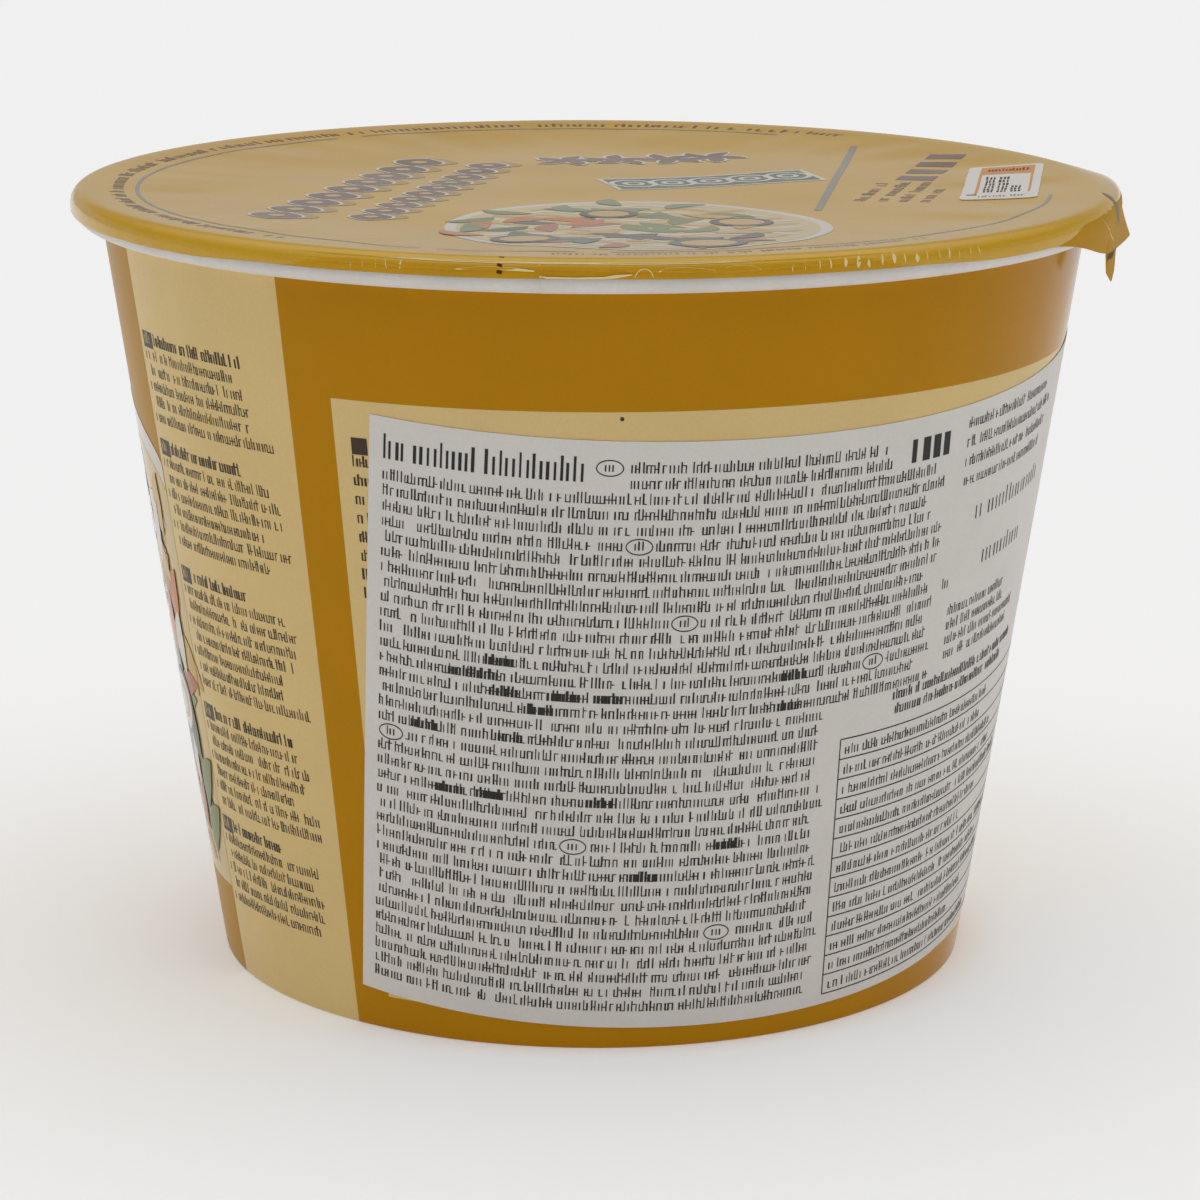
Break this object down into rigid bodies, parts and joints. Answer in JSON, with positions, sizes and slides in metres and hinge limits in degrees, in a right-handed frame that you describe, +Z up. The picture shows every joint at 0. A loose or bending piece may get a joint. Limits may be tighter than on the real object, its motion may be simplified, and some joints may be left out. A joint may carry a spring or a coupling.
{
  "type": "instant noodle cup",
  "caption": "Sealed tapered paper cup of instant noodles with a rolled brim, a foil lid with a drooping pull tab, a large wall label and a small lid sticker.",
  "frame": {"origin": "centre of the foot, on the surface that the cup stands on", "axes": "+Z up along the cup's axis; -Y faces the middle of the large wall label; the pull tab points 34 degrees from +X towards -Y"},
  "size_m": [0.148, 0.148, 0.1111],
  "materials": {
    "printed_cardboard": "glossy coated and printed",
    "lid_laminate": "glossy film on paper, printed",
    "label_paper": "satin, printed in black",
    "sticker_paper": "satin, printed"
  },
  "bodies": {
    "root": {"cup": "printed_cardboard", "lid": "lid_laminate", "label": "label_paper", "lid_sticker": "sticker_paper"}
  },
  "joints": []
}
